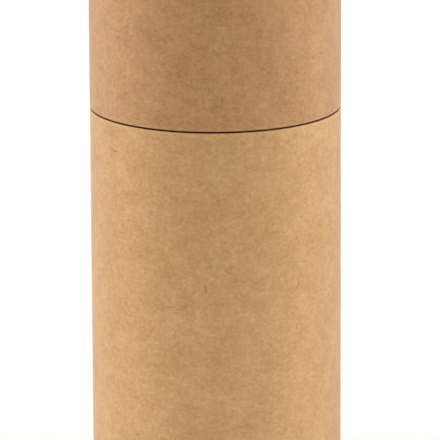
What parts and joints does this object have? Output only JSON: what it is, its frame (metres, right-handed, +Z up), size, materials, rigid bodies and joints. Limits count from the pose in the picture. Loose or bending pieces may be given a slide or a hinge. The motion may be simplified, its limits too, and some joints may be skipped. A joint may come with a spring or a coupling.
{
  "type": "cardboard food tube",
  "caption": "Upright round kraft paperboard tube with a tall push-on lid that slides over an inner neck and lies flush with the body.",
  "frame": {"origin": "centre of the base, on the surface the tube stands on", "axes": "+Z up along the tube's axis, from the base to the lid; X and Y are free, because the tube is round"},
  "size_m": [0.083, 0.083, 0.2],
  "materials": {
    "kraft_body": "smooth uncoated kraft paper, warm light brown with fine fibre mottling",
    "kraft_lid": "smooth uncoated kraft paper, a shade darker than the body, with fine fibre mottling",
    "kraft_neck": "uncoated kraft board, matte, with the fine spiral lines of its winding",
    "kraft_board": "uncoated grey-brown paperboard, matte"
  },
  "bodies": {
    "body": {"body_tube": "kraft_body", "neck_tube": "kraft_neck", "base_disc": "kraft_board"},
    "lid": {"lid_tube": "kraft_lid", "lid_disc": "kraft_board"}
  },
  "joints": [
    {"name": "lid_lift", "type": "slide", "parent": "body", "child": "lid", "axis": [0, 0, 1], "range_m": [0, 0.11]}
  ]
}
